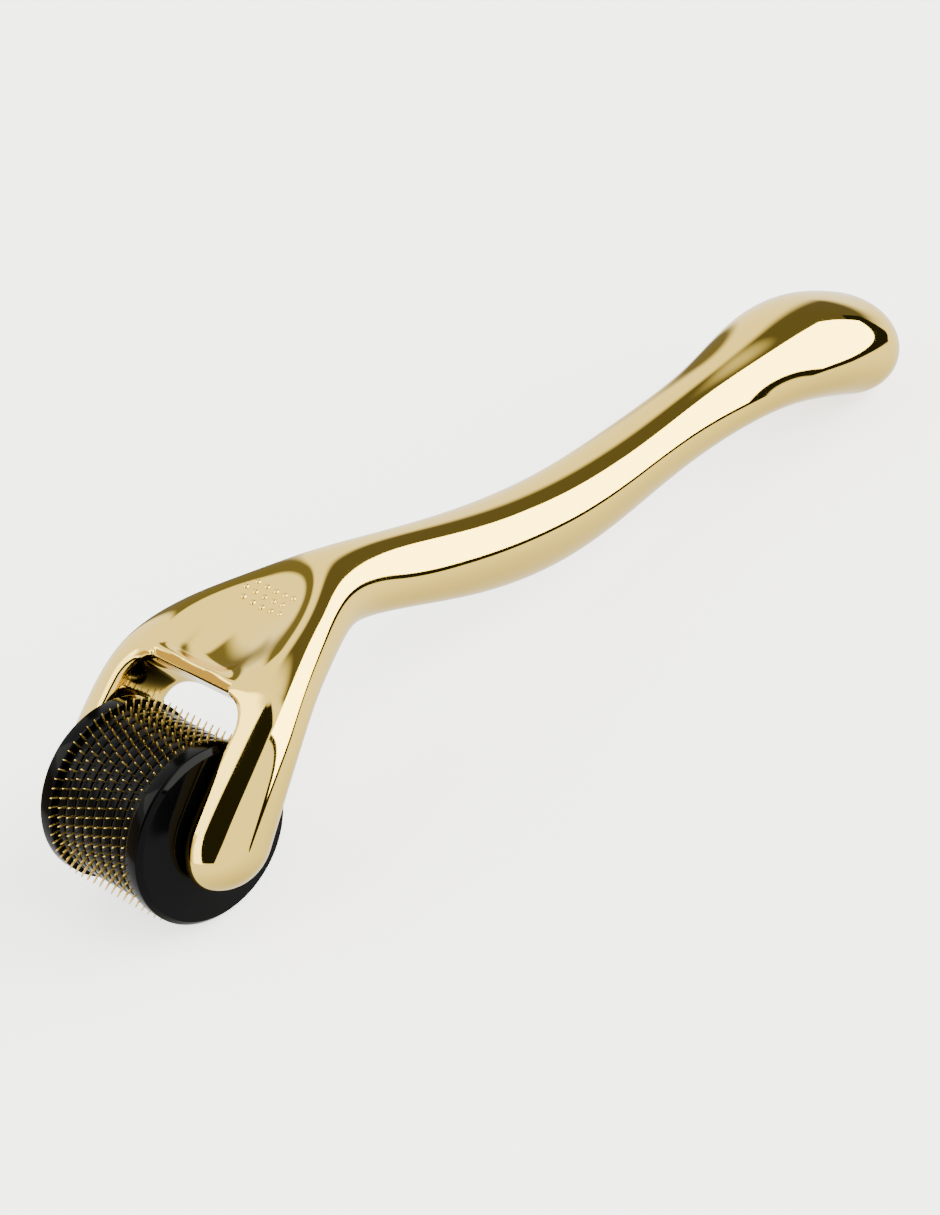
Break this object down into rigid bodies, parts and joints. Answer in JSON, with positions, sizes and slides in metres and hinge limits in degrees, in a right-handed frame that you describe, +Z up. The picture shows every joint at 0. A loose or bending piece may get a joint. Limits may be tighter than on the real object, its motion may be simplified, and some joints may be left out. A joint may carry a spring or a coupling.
{
  "type": "derma roller",
  "caption": "Skin roller: a drum of fine needle rows turns on a pin between the two arms of a slim, S-curved, mirror-plated handle.",
  "frame": {"origin": "middle of the footprint on the table that the roller lies on, under the needle tips and the tail", "axes": "+Z up from the table, +X from the drum towards the tail, +Y along the drum's axle towards the far cap"},
  "size_m": [0.1328, 0.0312, 0.0275],
  "materials": {
    "plated_handle": "electroplated, mirror bright, pale gold",
    "steel": "ground",
    "black_plastic": "glossy black",
    "cap_plastic": "glossy black",
    "needle_metal": "gold-coloured coating"
  },
  "bodies": {
    "handle": {"handle": "plated_handle", "axle_pin": "steel"},
    "roller": {"drum_core": "black_plastic", "end_cap_near": "cap_plastic", "end_cap_far": "cap_plastic", "needle_disc_1": "needle_metal", "needle_disc_2": "needle_metal", "needle_disc_3": "needle_metal", "needle_disc_4": "needle_metal", "needle_disc_5": "needle_metal", "needle_disc_6": "needle_metal", "needle_disc_7": "needle_metal", "needle_disc_8": "needle_metal", "needle_disc_9": "needle_metal", "spacer_ring_1": "black_plastic", "spacer_ring_2": "black_plastic", "spacer_ring_3": "black_plastic", "spacer_ring_4": "black_plastic", "spacer_ring_5": "black_plastic", "spacer_ring_6": "black_plastic", "spacer_ring_7": "black_plastic", "spacer_ring_8": "black_plastic"}
  },
  "joints": [
    {"name": "roller_spin", "type": "hinge", "parent": "handle", "child": "roller", "pos_m": [-0.05539, 0, 0.011], "axis": [0, 1, 0], "continuous": true}
  ]
}
